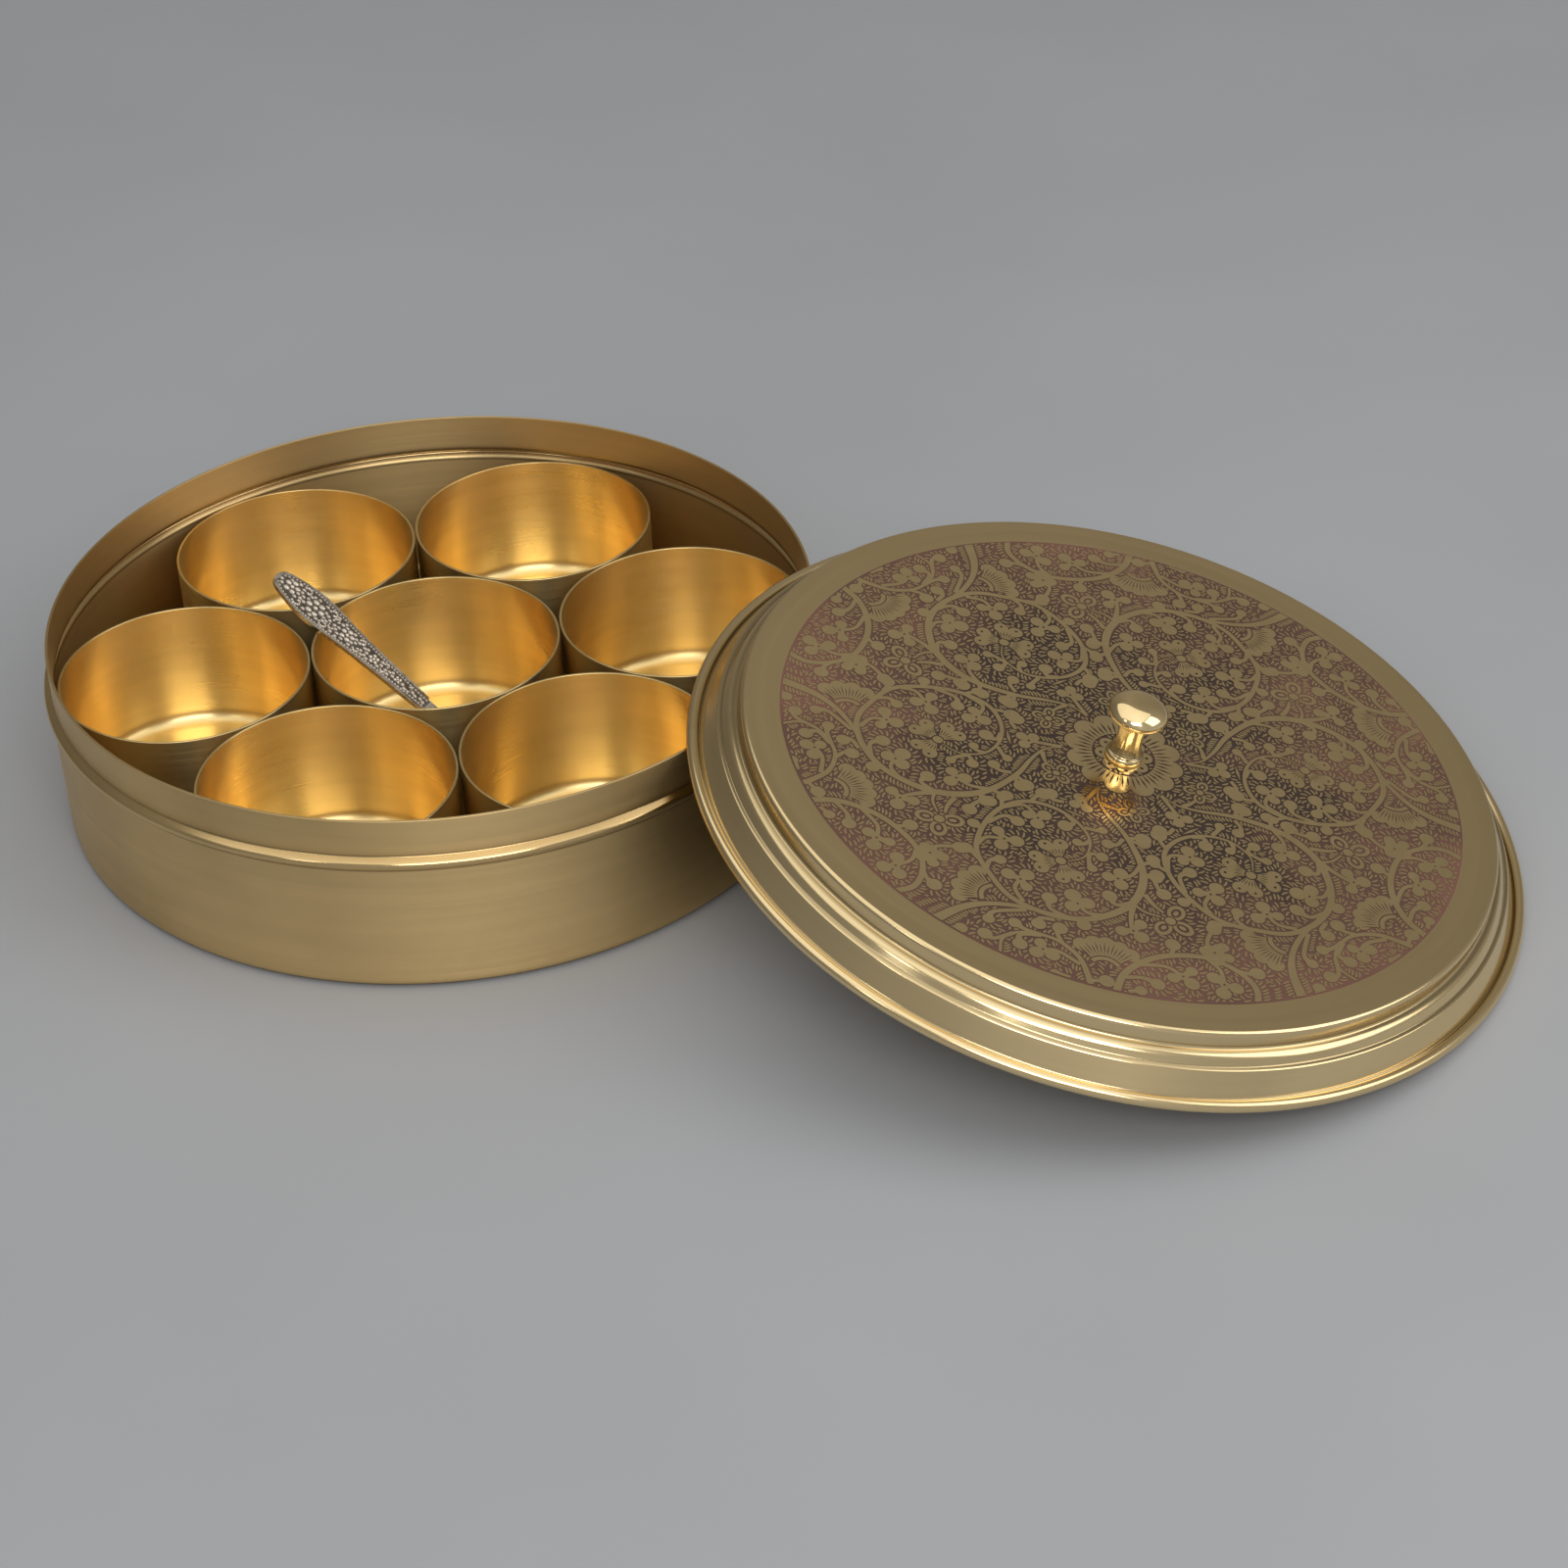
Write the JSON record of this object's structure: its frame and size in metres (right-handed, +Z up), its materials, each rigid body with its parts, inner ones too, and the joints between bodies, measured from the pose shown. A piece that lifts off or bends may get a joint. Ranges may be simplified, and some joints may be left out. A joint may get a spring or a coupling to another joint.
{
  "type": "spice box",
  "caption": "Round sheet-metal spice box, open, with loose round cups that fill it, a small spoon and an engraved knobbed lid leaning on its rim.",
  "frame": {"origin": "middle of the box's flat base, on the table", "axes": "+Z up, +Y away from the viewer of the picture, +X to the viewer's right, where the lid leans"},
  "size_m": [0.3985, 0.2936, 0.0676],
  "materials": {
    "box_brass": "satin, spun and lightly tarnished",
    "cup_brass": "satin, turned",
    "spoon_metal": "oxidised white metal, relief on the handle",
    "lid_brass": "satin, engraved with a floral scroll on a dark hatched ground",
    "knob_brass": "polished",
    "wire_steel": "bare wire",
    "washer_brass": "plain",
    "screw_steel": "plain"
  },
  "bodies": {
    "box": {"box_body": "box_brass"},
    "cup_centre": {"cup_centre": "cup_brass"},
    "cup_right": {"cup_right": "cup_brass"},
    "cup_back_right": {"cup_back_right": "cup_brass"},
    "cup_back_left": {"cup_back_left": "cup_brass"},
    "cup_left": {"cup_left": "cup_brass"},
    "cup_front_left": {"cup_front_left": "cup_brass"},
    "cup_front_right": {"cup_front_right": "cup_brass"},
    "spoon": {"spoon": "spoon_metal"},
    "lid": {"lid_shell": "lid_brass", "rim_wire": "wire_steel", "knob": "knob_brass", "knob_washer": "washer_brass", "knob_screw": "screw_steel"}
  },
  "joints": [
    {"name": "cup_centre_lift", "type": "slide", "parent": "box", "child": "cup_centre", "axis": [0, 0, 1], "range_m": [0, 0.06]},
    {"name": "cup_right_lift", "type": "slide", "parent": "box", "child": "cup_right", "axis": [0, 0, 1], "range_m": [0, 0.012]},
    {"name": "cup_back_right_lift", "type": "slide", "parent": "box", "child": "cup_back_right", "axis": [0, 0, 1], "range_m": [0, 0.06]},
    {"name": "cup_back_left_lift", "type": "slide", "parent": "box", "child": "cup_back_left", "axis": [0, 0, 1], "range_m": [0, 0.004]},
    {"name": "cup_left_lift", "type": "slide", "parent": "box", "child": "cup_left", "axis": [0, 0, 1], "range_m": [0, 0.005]},
    {"name": "cup_front_left_lift", "type": "slide", "parent": "box", "child": "cup_front_left", "axis": [0, 0, 1], "range_m": [0, 0.06]},
    {"name": "cup_front_right_lift", "type": "slide", "parent": "box", "child": "cup_front_right", "axis": [0, 0, 1], "range_m": [0, 0.012]},
    {"name": "spoon_lift", "type": "slide", "parent": "cup_centre", "child": "spoon", "axis": [0, 0, 1], "range_m": [0, 0.05]},
    {"name": "lid_lift", "type": "slide", "parent": "box", "child": "lid", "axis": [0, 0, 1], "range_m": [0, 0.15]}
  ]
}
